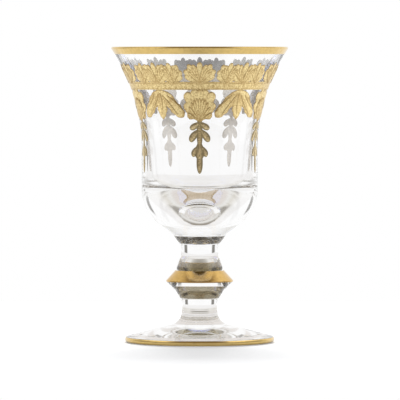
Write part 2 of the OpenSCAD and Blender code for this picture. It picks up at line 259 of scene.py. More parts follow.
def select_where(obj, test):
    """Selects the vertices in edit mode whose place passes the test"""
    mesh = bmesh.from_edit_mesh(obj.data)
    for v in mesh.verts:
        v.select = test(v.co)
    mesh.select_flush_mode()
    bmesh.update_edit_mesh(obj.data)


def turned(name, outline, steps, closed=False):
    """A piece turned about the axis from its outline, drawn by extruding a point"""
    deselect()
    bpy.ops.mesh.primitive_plane_add(size=MM)
    piece = bpy.context.object
    piece.name = piece.data.name = name
    bpy.ops.object.mode_set(mode="EDIT")
    bpy.ops.mesh.select_mode(type="VERT")
    bpy.ops.mesh.select_all(action="SELECT")
    bpy.ops.mesh.merge(type="CENTER")
    bpy.ops.transform.translate(value=(outline[0][0], 0, outline[0][1]))
    for a, b in zip(outline, outline[1:]):
        bpy.ops.mesh.extrude_region_move(TRANSFORM_OT_translate={"value": (b[0] - a[0], 0, b[1] - a[1])})
    if closed:
        ends = [Vector((p[0], 0, p[1])) for p in (outline[0], outline[-1])]
        select_where(piece, lambda co: any((co - e).length < NEAR for e in ends))
        bpy.ops.mesh.edge_face_add()
    bpy.ops.mesh.select_all(action="SELECT")
    bpy.ops.mesh.spin(steps=steps, angle=tau, center=(0, 0, 0), axis=(0, 0, 1))
    bpy.ops.mesh.select_all(action="SELECT")
    bpy.ops.mesh.remove_doubles(threshold=WELD)
    bpy.ops.mesh.normals_make_consistent(inside=False)
    bpy.ops.object.mode_set(mode="OBJECT")
    bpy.ops.object.shade_smooth_by_angle(angle=TURNED_SMOOTH)
    return piece


def finish_piece(piece, materials, slot, *nodes):
    """Gives a piece its materials and body, and hides the nodes that it stands for; slot is not used"""
    for material in materials:
        piece.data.materials.append(material)
    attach(piece, BODY)
    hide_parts(*nodes)


def fuse(piece, joints):
    """Marks the end discs that are fused to a neighbour, given as (height, radius)"""
    for face in piece.data.polygons:
        points = [piece.data.vertices[i].co for i in face.vertices]
        for z, r in joints:
            if all(abs(p.z - z) < NEAR and hypot(p.x, p.y) < r + NEAR for p in points):
                face.material_index = 1


def glass_piece(name, outline, joints):
    steps = bpy.context.scene.glass_sizes.segments
    piece = turned(f"{name}_crystal", outline, steps)
    finish_piece(piece, [crystal(), fused_joint()], "glass", name)
    fuse(piece, joints)
    return piece


# Materials


def new_material(name):
    """An empty node material, or the one already made"""
    material = bpy.data.materials.get(name)
    if material:
        return material, None
    material = bpy.data.materials.new(name)
    material.use_nodes = True
    return material, material.node_tree


def put(tree, socket, value):
    """Sets an input to a value, or links another node's output to it"""
    if isinstance(value, bpy.types.NodeSocket):
        tree.links.new(value, socket)
    else:
        socket.default_value = value


def node(tree, kind, **values):
    """A shader node with its settings, and with its inputs by name"""
    made = tree.nodes.new(kind)
    for key, value in values.items():
        if key in made.inputs:
            put(tree, made.inputs[key], value)
        else:
            setattr(made, key, value)
    return made


def calc(tree, operation, *values):
    """The result of one operation on numbers or other nodes' outputs"""
    made = node(tree, "ShaderNodeMath", operation=operation)
    for socket, value in zip(made.inputs, values):
        put(tree, socket, value)
    return made.outputs[0]


def scaled(tree, value, **ends):
    """A value mapped to another range; from_min stands for the node's From Min"""
    ends = {key.replace("_", " ").title(): end for key, end in ends.items()}
    return node(tree, "ShaderNodeMapRange", Value=value, **ends).outputs["Result"]


def mix(tree, factor, a, b):
    """A colour between two others"""
    return node(tree, "ShaderNodeMix", data_type="RGBA", Factor=factor, A=a, B=b).outputs["Result"]


def solid(colour):
    """A colour with full opacity"""
    return (*colour, 1)


def ramp(tree, source, stops):
    """A colour that runs through stops, each a place from 0 to 1 and a colour"""
    made = node(tree, "ShaderNodeValToRGB", Fac=source)
    points = made.color_ramp.elements
    points.remove(points[-1])
    for n, (at, colour) in enumerate(stops):
        stop = points.new(at) if n else points[0]
        stop.position = at
        stop.color = solid(colour)
    return made.outputs["Color"]


def finishes():
    return bpy.context.scene.glass_finishes


def crystal():
    material, tree = new_material("crystal")
    if tree:
        shader = tree.nodes["Principled BSDF"].inputs
        shader["Base Color"].default_value = solid(finishes().crystal)
        shader["Roughness"].default_value = 0
        shader["IOR"].default_value = CRYSTAL_IOR
        shader["Transmission Weight"].default_value = 1
    return material


def fused_joint():
    """Where two pieces of glass are fused, no surface shows"""
    material, tree = new_material("fused_joint")
    if tree:
        tree.nodes.remove(tree.nodes["Principled BSDF"])
        clear = tree.nodes.new("ShaderNodeBsdfTransparent")
        tree.links.new(clear.outputs[0], tree.nodes["Material Output"].inputs["Surface"])
    return material


def gold(name, colour, shade, roughness, grain, depth, chased=False):
    """Metal with a fine grain; chased gold is stippled too, and has painted shade in its grooves and along its edges,
    set by its relief
    """
    material, tree = new_material(name)
    if tree:
        shader = tree.nodes["Principled BSDF"].inputs
        place = node(tree, "ShaderNodeTexCoord").outputs["Object"]
        fine = node(tree, "ShaderNodeTexNoise", Vector=place, Scale=grain, Detail=3.0, Roughness=0.6).outputs["Fac"]
        broad = node(tree, "ShaderNodeTexNoise", Vector=place, Scale=grain / 8, Detail=2.0).outputs["Fac"]
        level, dark_end, light_end = fine, 0.34, 0.6
        if chased:
            # Painted shade: the lower a point of the relief, the nearer its colour comes to the shade colour, so
            # grooves and edges are darker and raised parts lighter
            relief = node(tree, "ShaderNodeAttribute", attribute_name="relief").outputs["Fac"]
            both = node(tree, "ShaderNodeMix", data_type="FLOAT", Factor=0.34, A=fine, B=relief).outputs["Result"]
            dots = node(tree, "ShaderNodeTexVoronoi", Vector=place, Scale=1300.0).outputs["Distance"]
            level = calc(tree, "SUBTRACT", both, scaled(tree, dots, from_min=0.3, from_max=0.65, to_max=0.09))
            dark_end, light_end = 0.42, 0.66
        put(tree, shader["Base Color"], ramp(tree, level, [(dark_end, shade), (light_end, colour)]))
        put(tree, shader["Roughness"], scaled(tree, broad, to_min=roughness * 0.75, to_max=roughness * 1.3))
        bump = node(tree, "ShaderNodeBump", Strength=0.6, Distance=depth, Height=fine)
        put(tree, shader["Normal"], bump.outputs["Normal"])
        shader["Metallic"].default_value = 1
    return material


def burnished(name, colour):
    return gold(name, colour, [c * 0.86 for c in colour], 0.1, 500.0, 0.004 * MM)


def polished_gold():
    return burnished("burnished_gilding", finishes().polished)


def knop_gold():
    return burnished("knop_gilding", finishes().bronzed)


def etched_gold():
    return gold("etched_gilding", finishes().etched, finishes().shade, 0.34, 1100.0, 0.06 * MM, chased=True)


# The drops' chased gold has a deeper painted shade in its grooves and along its edges, at 0.42 of its colour
def dark_gold():
    colour = finishes().dark
    return gold("shaded_gilding", colour, [c * 0.42 for c in colour], 0.34, 1100.0, 0.05 * MM, chased=True)


def gilding_back(name, colour, roughness):
    """Gold as it shows through the glass, from its underside"""
    material, tree = new_material(name)
    if tree:
        shader = tree.nodes["Principled BSDF"].inputs
        place = node(tree, "ShaderNodeTexCoord").outputs["Object"]
        mottle = node(tree, "ShaderNodeTexNoise", Vector=place, Scale=700.0, Detail=2.0).outputs["Fac"]
        tones = ramp(tree, mottle, [(0, [c * 0.8 for c in colour]), (1, [min(1, c * 1.2) for c in colour])])
        put(tree, shader["Base Color"], tones)
        shader["Roughness"].default_value = roughness
        shader["Metallic"].default_value = 1
    return material


# The backs of the gold get colours of their own, partly the gold's back and partly painted light and shade: a pale
# grey for the etched gold, a darker grey for the crests, a dark brown for the knop and rim, and near white for the
# foot
def etched_back():
    return gilding_back("etched_gilding_back", finishes().underside, 0.22)


def crest_back():
    return gilding_back("crest_gilding_back", (0.56, 0.55, 0.54), 0.2)


def burnished_back():
    return gilding_back("burnished_gilding_back", (0.46, 0.41, 0.30), 0.06)


def foot_back():
    return gilding_back("foot_gilding_back", (0.9, 0.88, 0.83), 0.06)


# Relief leaves, modelled flat on X and Y with their face up, one long, one wide and one high

# Height of a leaf's edge, below which height a point is on its back, and how near points count as one
LEAF_EDGE = 0.05
LEAF_BACK = 0.01
LEAF_NEAR = 1e-4


def keep_relief(piece):
    """Keeps each point's height over the flat, from 0 to 1, which sets the chased gold's painted shade"""
    level = piece.data.attributes.new("relief", "FLOAT", "POINT")
    for v, mark in zip(piece.data.vertices, level.data):
        mark.value = v.co.z


def flat_leaf(name, widths, ribs, swell):
    """A closed leaf: widths and swell run along it, and ribs gives the heights across it"""
    rows, columns = len(widths) - 1, len(ribs) - 1
    deselect()
    bpy.ops.mesh.primitive_grid_add(x_subdivisions=columns, y_subdivisions=rows, size=1, location=(0, 0.5, 0))
    leaf = bpy.context.object
    leaf.name = leaf.data.name = name
    bpy.ops.object.transform_apply(location=True)
    bpy.ops.object.mode_set(mode="EDIT")
    bpy.ops.mesh.select_mode(type="VERT")
    bpy.ops.mesh.select_all(action="SELECT")
    bpy.ops.mesh.extrude_region_move(TRANSFORM_OT_translate={"value": (0, 0, LEAF_EDGE)})
    for i, height in enumerate(ribs):
        x = i / columns - 0.5
        select_where(leaf, lambda co: abs(co.x - x) < LEAF_NEAR and co.z > LEAF_BACK)
        bpy.ops.transform.translate(value=(0, 0, height * (1 - LEAF_EDGE)))
    for j, width in enumerate(widths):
        y = j / rows
        select_where(leaf, lambda co: abs(co.y - y) < LEAF_NEAR)
        bpy.ops.transform.resize(value=(max(width, 1e-5), 1, swell[j]), center_override=(0, 0, 0))
    bpy.ops.mesh.select_all(action="SELECT")
    bpy.ops.mesh.remove_doubles(threshold=LEAF_NEAR)
    bpy.ops.mesh.normals_make_consistent(inside=False)
    bpy.ops.object.mode_set(mode="OBJECT")
    keep_relief(leaf)
    return leaf


# Heights across a leaf: flat with a soft edge, a line with low sides, and a soft ridge; the chased gold's painted
# shade follows them, darker where they are low
FLAT_RIBS = [0, 0.78, 0.88, 0.93, 0.96, 0.98, 1.0, 0.98, 0.96, 0.93, 0.88, 0.78, 0]
LINE_RIBS = [0, 0.42, 0.44, 0.5, 0.74, 0.94, 1.0, 0.94, 0.74, 0.5, 0.44, 0.42, 0]
SOFT_RIBS = [0, 0.05, 0.14, 0.4, 0.8, 0.95, 1.0, 0.95, 0.8, 0.4, 0.14, 0.05, 0]
# Rows along a leaf, and lobes along a notched one
LEAF_ROWS = 24
LEAF_LOBES = 4
# Veins are this share of the leaves' height
VEIN_SHARE = 0.6
VEIN_WIDTH = 1.6 * MM
# Each lobe of a fan lies this much over the next one out
LOBE_STEP = 0.03 * MM


def round_leaf(name, waist, head, ripple=0.0, ribs=FLAT_RIBS, end=0.5, notch=0.0):
    """A leaf that widens from its root to its head

    Its end is round at 0.5 and pointed at 1, ripple raises every second row and notch lobes its edge.
    """
    rows = LEAF_ROWS
    widths = []
    for j in range(rows + 1):
        t = j / rows
        if t < head:
            widths.append(waist + (1 - waist) * sin(pi / 2 * t / head))
        else:
            widths.append(max(0, 1 - ((t - head) / (1 - head)) ** 2) ** end)
        widths[-1] *= 1 - notch * (0.5 + 0.5 * cos(LEAF_LOBES * tau * t))
    swell = [min(1, 0.55 + 0.7 * j / rows) * min(1, 0.3 + 5 * (rows - j) / rows) * (1 + ripple * (-1) ** j)
             for j in range(rows + 1)]
    return flat_leaf(name, widths, ribs, swell)


def place(template, start, end, width, height, lift=0.0, bow=0.0):
    """A copy of a flat leaf that runs from one point to another, bowed to its right"""
    only(template)
    bpy.ops.object.duplicate(linked=False)
    copy = bpy.context.object
    run = Vector(end) - Vector(start)
    for v in copy.data.vertices:
        v.co.x += bow / width * 4 * v.co.y * (1 - v.co.y)
    copy.scale = (width, run.length, height)
    copy.rotation_euler = (0, 0, atan2(-run.x, run.y))
    copy.location = (start[0], start[1], lift)
    bpy.ops.object.transform_apply(location=True, rotation=True, scale=True)
    return copy


def join(name, pieces):
    deselect()
    for piece in pieces:
        piece.select_set(True)
    bpy.context.view_layer.objects.active = pieces[0]
    bpy.ops.object.join()
    joined = bpy.context.object
    joined.name = joined.data.name = name
    return joined


def wrap(piece, bell):
    """Lays a flat relief on the front of the bowl: X runs around it and Y is the height"""
    for v in piece.data.vertices:
        x, z, out = v.co.x, v.co.y, v.co.z - SINK
        lean = pi - bell.angle(z)
        r = bell.radius(z)
        turn = asin(max(-1, min(1, x / r)))
        r += out * cos(lean)
        v.co = (r * sin(turn), -r * cos(turn), z - out * sin(lean))
    piece.data.update()
    only(piece)
    bpy.ops.object.shade_smooth_by_angle(angle=RELIEF_SMOOTH)


def repeat(piece, base_name, offset, materials, slot):
    """Copies a motif around the bowl, one for each node of its name"""
    for i in range(REPEATS):
        only(piece)
        bpy.ops.object.duplicate(linked=False)
        copy = bpy.context.object
        node_name = f"{base_name}_{i + 1}"
        copy.name = copy.data.name = f"{node_name}_relief"
        copy.rotation_euler = (0, 0, (i + offset) * REPEAT_TURN)
        bpy.ops.object.transform_apply(location=False, rotation=True, scale=False)
        finish_piece(copy, materials, slot, node_name)
        level = copy.data.attributes["relief"].data
        for face in copy.data.polygons:
            face.material_index = int(all(level[v].value < LEAF_BACK for v in face.vertices))
    bpy.data.objects.remove(piece)


def remove(*templates):
    for template in templates:
        bpy.data.objects.remove(template)


def fan(template, root, half_width, height, turns, width, relief, lift=0.0, fullness=0.6, uneven=0.0):
    """Lobes that spread from a root

    The less the fullness, the squarer the line of their ends, and uneven shortens every second lobe.
    """
    pieces = []
    for n, turn in enumerate(turns):
        step = lift + LOBE_STEP * (len(turns) - n)
        length = 1 - uneven * (n % 2)
        out = length * half_width * sin(radians(turn)) ** fullness
        up = length * height * cos(radians(turn)) ** fullness
        for side in (1, -1) if turn else (1,):
            pieces.append(place(template, root, (root[0] + side * out, root[1] + up), width, relief, step))
    return pieces


# Operators


class OBJECT_OT_glass_foot(bpy.types.Operator):
    """Turn the round foot with its hollow underside"""

    bl_idname = "object.glass_foot"
    bl_label = "Foot"

    def execute(self, context):
        s = context.scene.glass_sizes
        edge_r = s.foot_edge / 2
        r, top, stem_r = radius_of("foot"), top_of("foot"), radius_of("lower_stem")
        edge_c = (r - edge_r, edge_r)
        hollow_r = edge_c[0] - s.foot_ring
        hollow_top = hollow_r - s.foot_hollow / tan(HOLLOW_SLOPE)
        sweep_c = (stem_r + s.foot_sweep, top)
        underside = soften([(0, s.foot_hollow), (hollow_top, s.foot_hollow), (hollow_r, 0), (edge_c[0], 0)],
                           HOLLOW_ROUND)
        outline = (underside[:-1] + arc(edge_c, edge_r, -pi / 2, pi / 2 - s.foot_slope, 20)
                   + arc(sweep_c, s.foot_sweep, 3 * pi / 2 - s.foot_slope, pi, 24) + [(0, top)])
        glass_piece("foot", outline, [(top, stem_r)])
        return {"FINISHED"}


class OBJECT_OT_glass_stems(bpy.types.Operator):
    """Turn the short stems below and above the knop"""

    bl_idname = "object.glass_stems"
    bl_label = "Stems"

    def execute(self, context):
        waist = context.scene.glass_sizes.stem_waist
        for name in ("lower_stem", "upper_stem"):
            r, low, high = radius_of(name), bottom_of(name), top_of(name)
            half = (high - low) / 2
            waist_r = (half * half + waist * waist) / (2 * waist)
            turn = asin(half / waist_r)
            side = arc((r - waist + waist_r, low + half), waist_r, pi + turn, pi - turn, 12)
            glass_piece(name, [(0, low)] + side + [(0, high)], [(low, r), (high, r)])
        return {"FINISHED"}


class OBJECT_OT_glass_knop(bpy.types.Operator):
    """Turn the angular knop"""

    bl_idname = "object.glass_knop"
    bl_label = "Knop"

    def execute(self, context):
        s = context.scene.glass_sizes
        low, high, r = bottom_of("knop"), top_of("knop"), radius_of("knop")
        lower_r, upper_r = radius_of("lower_stem"), radius_of("upper_stem")
        edge_low = low + s.knop_low_cone + s.knop_low_bevel
        edge_high = edge_low + s.knop_edge
        side = soften([
            (lower_r, low), (s.knop_neck, low), (s.knop_shoulder, low + s.knop_low_cone), (r, edge_low),
            (r, edge_high), (s.knop_shoulder, edge_high + s.knop_high_bevel), (s.knop_neck, high), (upper_r, high),
        ], s.crisp)
        glass_piece("knop", [(0, low)] + side + [(0, high)], [(low, lower_r), (high, upper_r)])
        return {"FINISHED"}


class OBJECT_OT_glass_collar(bpy.types.Operator):
    """Turn the inverted cone under the bowl"""

    bl_idname = "object.glass_collar"
    bl_label = "Collar"

    def execute(self, context):
        s = context.scene.glass_sizes
        low, high, r, stem_r = bottom_of("collar"), top_of("collar"), radius_of("collar"), radius_of("upper_stem")
        side = soften([(stem_r, low), (s.collar_foot, low), (r, high - s.collar_lip), (r, high)], s.crisp)
        glass_piece("collar", [(0, low)] + side + [(0, high)], [(low, stem_r), (high, r)])
        return {"FINISHED"}


class OBJECT_OT_glass_bowl(bpy.types.Operator):
    """Turn the bell-shaped bowl with its thick solid base"""

    bl_idname = "object.glass_bowl"
    bl_label = "Bowl"

    def execute(self, context):
        s = context.scene.glass_sizes
        bell = Bell(s)
        base_c = (bell.barrel - bell.base_round, bell.barrel_bottom)
        barrel = [(bell.barrel, bell.barrel_bottom + s.barrel_height * i / 6) for i in range(1, 6)]
        outline = ([(0, bell.bottom), (bell.collar_r, bell.bottom)]
                   + arc(base_c, bell.base_round, -bell.base_turn, 0, 28) + barrel
                   + arc(bell.flare_c, bell.flare_r, pi, pi - bell.lip_angle, 48)
                   + arc(bell.lip_c, bell.lip_r, -bell.lip_angle, pi - bell.lip_angle, 14)[1:]
                   + inner_wall(s, bell))
        glass_piece("bowl", outline, [(bell.bottom, bell.collar_r)])
        return {"FINISHED"}


# A ring's face is on its hidden side when all its points are this near the inner outline
RING_NEAR = 5e-6


def gold_ring(name, outer, inner, material, back, slot):
    """A turned ring of gold between an outer and an inner outline, both bottom to top"""
    steps = bpy.context.scene.glass_sizes.segments
    ring = turned(f"{name}_gold", outer + inner[::-1], steps, closed=True)
    finish_piece(ring, [material, back], slot, name)
    hidden = [Vector((p[0], p[1])) for p in inner]
    for face in ring.data.polygons:
        points = [ring.data.vertices[i].co for i in face.vertices]
        flat = [Vector((hypot(p.x, p.y), p.z)) for p in points]
        if all(min((f - h).length for h in hidden) < RING_NEAR for f in flat):
            face.material_index = 1
    return ring


# The band's rails, its field between two shares of its height, and the hatch around it
BAND_BEAD = 0.5 * MM
FIELD_RELIEF = 0.45
BAND_FIELD = (0.15, 0.72)
# FIELD_LIGHT is painted light that lightens the field; HATCH_LIGHT is the strength of the hatch lines
FIELD_LIGHT = 0.34
HATCH_LIGHT = 0.08
HATCH_LINES = 80


def chase_band(ring, bell, relief, low, high):
    """Marks the band's rails, the field between them and its faint hatch for the gold's painted shade: darker on the
    rails' low sides, painted lighter on the field
    """
    level = ring.data.attributes.new("relief", "FLOAT", "POINT")
    for v, mark in zip(ring.data.vertices, level.data):
        out = bell.flare_r - hypot(hypot(v.co.x, v.co.y) - bell.flare_c[0], v.co.z - bell.flare_c[1])
        share = (v.co.z - low) / (high - low)
        turn = atan2(v.co.x, -v.co.y)
        field = FIELD_LIGHT + HATCH_LIGHT * cos(HATCH_LINES * turn)
        mark.value = max(0, min(1, out / relief)) + (field if BAND_FIELD[0] < share < BAND_FIELD[1] else 0)


class OBJECT_OT_gold_bands(bpy.types.Operator):
    """Turn the gold on the foot's edge, the knop, the rim and around the bowl"""

    bl_idname = "object.gold_bands"
    bl_label = "Gold bands"

    def execute(self, context):
        s, g = context.scene.glass_sizes, context.scene.gold_sizes
        bell = Bell(s)
        edge_r = s.foot_edge / 2
        edge_c = (radius_of("foot") - edge_r, edge_r)
        gold_ring("foot_band",
                  arc(edge_c, edge_r + g.thickness, g.band_from, g.band_to, 24),
                  arc(edge_c, edge_r - SINK, g.band_from, g.band_to, 24),
                  polished_gold(), foot_back(), "polished_gold")

        low = bottom_of("knop") + s.knop_low_cone + s.knop_low_bevel
        high, r = low + s.knop_edge, radius_of("knop")
        bevel = atan2(s.knop_high_bevel, r - s.knop_shoulder)
        out = Vector((sin(bevel), cos(bevel)))
        shoulder = Vector((s.knop_shoulder, high + s.knop_high_bevel))
        rise = tan((pi / 2 - bevel) / 2)
        outer = soften([(r + g.thickness, low), (r + g.thickness, high + g.thickness * rise),
                        tuple(shoulder + g.thickness * out)], s.crisp)
        inner = [(r - SINK, low), (r - SINK, high - SINK * rise), tuple(shoulder - SINK * out)]
        gold_ring("knop_band", outer, inner, knop_gold(), burnished_back(), "polished_gold")

        rim_low = bell.angle(bottom_of("rim_band"))
        rim_high = pi - bell.lip_angle
        lip_from, lip_to = -bell.lip_angle, pi - bell.lip_angle
        gold_ring("rim_band",
                  arc(bell.flare_c, bell.flare_r - g.thickness, rim_low, rim_high, 8)
                  + arc(bell.lip_c, bell.lip_r + g.thickness, lip_from, lip_to, 14)[1:],
                  arc(bell.flare_c, bell.flare_r + SINK, rim_low, rim_high, 8)
                  + arc(bell.lip_c, bell.lip_r - SINK, lip_from, lip_to, 14)[1:],
                  polished_gold(), burnished_back(), "polished_gold")

        from_z, to_z = bottom_of("frieze_band"), top_of("frieze_band")
        heights = [(0, 0.0), (0.12, 0.8), (0.5, 1.0), (0.88, 0.8), (1, FIELD_RELIEF)]
        rail = [(from_z + BAND_BEAD * t, h) for t, h in heights]
        between = to_z - from_z - 2 * BAND_BEAD
        field = [(from_z + BAND_BEAD + between * i / 8, FIELD_RELIEF) for i in range(1, 8)]
        top_rail = [(to_z - BAND_BEAD * t, h) for t, h in heights[::-1]]
        outer = [(bell.flare_c[0] + (bell.flare_r - g.relief * h) * cos(bell.angle(z)),
                  bell.flare_c[1] + (bell.flare_r - g.relief * h) * sin(bell.angle(z)))
                 for z, h in rail + field + top_rail]
        inner = arc(bell.flare_c, bell.flare_r + SINK, bell.angle(from_z), bell.angle(to_z), 12)
        ring = gold_ring("frieze_band", outer, inner, etched_gold(), etched_back(), "etched_gold")
        chase_band(ring, bell, g.relief, from_z, to_z)
        return {"FINISHED"}


# A palmette's lobes spread from this far below its top; the turns are in degrees
PALMETTE_HUB = 3.4 * MM
PALMETTE_LOBES = [0, 15, 31, 48, 66, 84]
PALMETTE_BLADES = [0, 12, 25, 39, 55, 72]


class OBJECT_OT_gold_palmettes(bpy.types.Operator):
    """Model the fans that hang below the band"""

    bl_idname = "object.gold_palmettes"
    bl_label = "Palmettes"

    def execute(self, context):
        g = context.scene.gold_sizes
        bell = Bell(context.scene.glass_sizes)
        low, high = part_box("palmette_1")
        half_width = high.x
        hub = (0, high.z - PALMETTE_HUB)
        lobe = round_leaf("lobe", 0.3, 0.75)
        blade = round_leaf("blade", 0.35, 0.7, ribs=LINE_RIBS)
        drop = low.z - hub[1]
        pieces = fan(lobe, hub, half_width, drop, PALMETTE_LOBES, g.lobe_width, g.relief, fullness=0.7, uneven=0.08)
        neck_low, neck_high = (0, low.z + 3 * MM), (0, high.z + 0.4 * MM)
        pieces.append(place(lobe, neck_low, neck_high, 2 * g.palmette_neck, g.relief, 0.2 * MM))
        for side in (1, -1):
            shoulder, ear = (side * 4 * MM, high.z + 0.2 * MM), (side * half_width, hub[1] + 0.6 * MM)
            pieces.append(place(lobe, (0, hub[1] - 4 * MM), shoulder, 4.4 * MM, g.relief, 0.1 * MM))
            pieces.append(place(lobe, (0, hub[1] - 3 * MM), ear, 5 * MM, g.relief, 0.08 * MM))
        pieces += fan(blade, (0, low.z + 0.6 * MM), 0.8 * half_width, -0.9 * drop, PALMETTE_BLADES, 2 * MM,
                      g.relief * VEIN_SHARE, 0.4 * MM, 0.9)
        motif = join("palmette", pieces)
        wrap(motif, bell)
        repeat(motif, "palmette", 0, [etched_gold(), etched_back()], "etched_gold")
        remove(lobe, blade)
        return {"FINISHED"}


# A drop's paired husks, in mm: root and tip (aside, and below the top), width, lift and bow
DROP_HUSKS = [
    ((0, 0.4), (5.5, 4.2), 3.6, 0, 0),
    ((0, 4.4), (5.5, 11.4), 4, 0.02, 0.5),
    ((0.8, 14), (3.9, 20), 3.2, 0.05, 0.5),
]


class OBJECT_OT_gold_drops(bpy.types.Operator):
    """Model the bellflower drops below the palmettes"""

    bl_idname = "object.gold_drops"
    bl_label = "Drops"

    def execute(self, context):
        g = context.scene.gold_sizes
        bell = Bell(context.scene.glass_sizes)
        low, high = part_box("drop_1")
        top = high.z
        husk = round_leaf("husk", 0.4, 0.62, ribs=SOFT_RIBS)
        finger = round_leaf("finger", 0.8, 0.5, 0.2, SOFT_RIBS)
        pieces = []
        for side in (1, -1):
            for (x0, down0), (x1, down1), width, lift, bow in DROP_HUSKS:
                pieces.append(place(husk, (side * x0 * MM, top - down0 * MM), (side * x1 * MM, top - down1 * MM),
                                    width * MM, g.relief, lift * MM, -side * bow * MM))
        pieces.append(place(finger, (0, top + 0.6 * MM), (0, top - 15 * MM), 3.4 * MM, g.relief, 0.06 * MM))
        pieces.append(place(husk, (0, top - 12 * MM), (0, top - 21.5 * MM), 5.6 * MM, g.relief, 0.07 * MM))
        pieces.append(place(finger, (0, top - 17 * MM), (0, low.z), 3.6 * MM, g.relief, 0.03 * MM))
        motif = join("drop", pieces)
        wrap(motif, bell)
        repeat(motif, "drop", 0, [dark_gold(), etched_back()], "dark_gold")
        remove(husk, finger)
        return {"FINISHED"}


class OBJECT_OT_gold_sprays(bpy.types.Operator):
    """Model the three-leaf sprays between the palmettes"""

    bl_idname = "object.gold_sprays"
    bl_label = "Leaf sprays"

    def execute(self, context):
        g = context.scene.gold_sizes
        bell = Bell(context.scene.glass_sizes)
        palmette_low, palmette_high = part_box("palmette_1")
        top, low = palmette_high.z, bottom_of("leaf_spray_1")
        r = bell.radius(palmette_low.z)
        reach = r * sin(REPEAT_TURN / 2 - asin(palmette_high.x / r))
        leaf = round_leaf("leaf", 0.8, 0.4, 0.05, end=0.8, notch=0.16)
        tongue = round_leaf("tongue", 0.85, 0.6, 0.05, notch=0.14)
        arch = round_leaf("arch", 0.1, 0.5)
        vein = round_leaf("vein", 0.6, 0.5, 0.3, LINE_RIBS)
        spread = 0.72 * reach
        pieces = [place(arch, (-spread, top - 4.9 * MM), (spread, top - 4.9 * MM), 6.4 * MM, g.relief, 0, -1.7 * MM),
                  place(leaf, (0, top - 2.2 * MM), (0, low), 8 * MM, g.relief, 0.1 * MM),
                  place(vein, (0, top - 2 * MM), (0, low + 3 * MM), 1.8 * MM, g.relief * VEIN_SHARE, 0.38 * MM)]
        for side in (1, -1):
            tip = (side * (reach + 0.4 * MM), low + 1.4 * MM)
            pieces.append(place(tongue, (side * 2.4 * MM, top - 2.6 * MM), tip, 7.2 * MM, g.relief, 0.05 * MM))
            for across in (-1.5 * MM, 1.5 * MM):
                root = (side * 3 * MM + across, top - 3.2 * MM)
                end = (0.86 * tip[0] + across, tip[1] + 3 * MM + side * across)
                pieces.append(place(vein, root, end, VEIN_WIDTH, g.relief * VEIN_SHARE, 0.34 * MM))
        motif = join("leaf_spray", pieces)
        wrap(motif, bell)
        repeat(motif, "leaf_spray", 0.5, [etched_gold(), etched_back()], "etched_gold")
        remove(leaf, tongue, arch, vein)
        return {"FINISHED"}


# Half the turn that a small crest takes up, and the turns of the crests' lobes and veins in degrees
CREST_HALF_TURN = radians(13)
CREST_LOBES = [0, 17, 34, 50, 64, 77]
CREST_VEINS = [8, 25, 42, 57]
CREST_LOBE_WIDTH = 3.6 * MM
SIDE_LOBE_WIDTH = 3.4 * MM
CREST_UNEVEN = 0.1


class OBJECT_OT_gold_crests(bpy.types.Operator):
    """Model the small and the wide fans above the band"""

    bl_idname = "object.gold_crests"
    bl_label = "Crests"

    def execute(self, context):
        g = context.scene.gold_sizes
        bell = Bell(context.scene.glass_sizes)
        low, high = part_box("small_crest_1")
        rise = high.z - low.z
        r = bell.radius(low.z + 0.4 * rise)
        small_w = r * sin(CREST_HALF_TURN)
        wide_w = r * sin(REPEAT_TURN / 2 - CREST_HALF_TURN)
        lobe = round_leaf("lobe", 0.35, 0.7)
        vein = round_leaf("vein", 0.5, 0.6, 0.3, LINE_RIBS)
        root = low.z - 0.6 * MM
        tall = rise + 0.5 * MM

        def shell(x, half_width, height, width, vein_half_width, vein_height, lift):
            """One fan of lobes with its veins"""
            return (fan(lobe, (x, root), half_width, height, CREST_LOBES, width, g.relief, lift, uneven=CREST_UNEVEN)
                    + fan(vein, (x, root), vein_half_width, vein_height, CREST_VEINS, VEIN_WIDTH,
                          g.relief * VEIN_SHARE, lift + 0.38 * MM))

        motif = join("small_crest", shell(0, small_w, tall, CREST_LOBE_WIDTH, 0.8 * small_w, 0.8 * tall, 0.0))
        wrap(motif, bell)
        repeat(motif, "small_crest", 0, [etched_gold(), crest_back()], "etched_gold")

        wide = shell(0, 0.56 * wide_w, tall, CREST_LOBE_WIDTH, 0.45 * wide_w, 0.8 * tall, 0.1 * MM)
        for side in (1, -1):
            wide += shell(side * 0.6 * wide_w, 0.4 * wide_w, 0.97 * tall, SIDE_LOBE_WIDTH, 0.32 * wide_w,
                          0.78 * tall, 0.0)
        motif = join("wide_crest", wide)
        wrap(motif, bell)
        repeat(motif, "wide_crest", 0.5, [etched_gold(), crest_back()], "etched_gold")
        remove(lobe, vein)
        return {"FINISHED"}


# Stage, in metres


FLOOR_SIZE = 0.8
FLOOR_DROP = 0.0002
# How far around the axis the floor, seen through the glass, carries painted shade
SHADE_REACH = 0.15
LAMP_PLACE = (0.0, 0.85, 1.25)
LAMP_TILT = radians(-34)
LAMP_SIZE = 0.7
LAMP_POWER = 14
CAMERA_DISTANCE = 2.45
CAMERA_HEIGHT = 0.165
CAMERA_PITCH = radians(1.93)
CAMERA_VIEW = 0.232
CAMERA_SIDE = 0.0002
# Light turns many times inside the thick glass
BOUNCES = 32


def gold_in_glass(tree, path):
    """1 for a ray with two reflections and two passes through glass, as from gold seen in the base"""
    twice = [calc(tree, "COMPARE", path.outputs[kind], 2, 0.5) for kind in ("Glossy Depth", "Transmission Depth")]
    return calc(tree, "MULTIPLY", *twice)


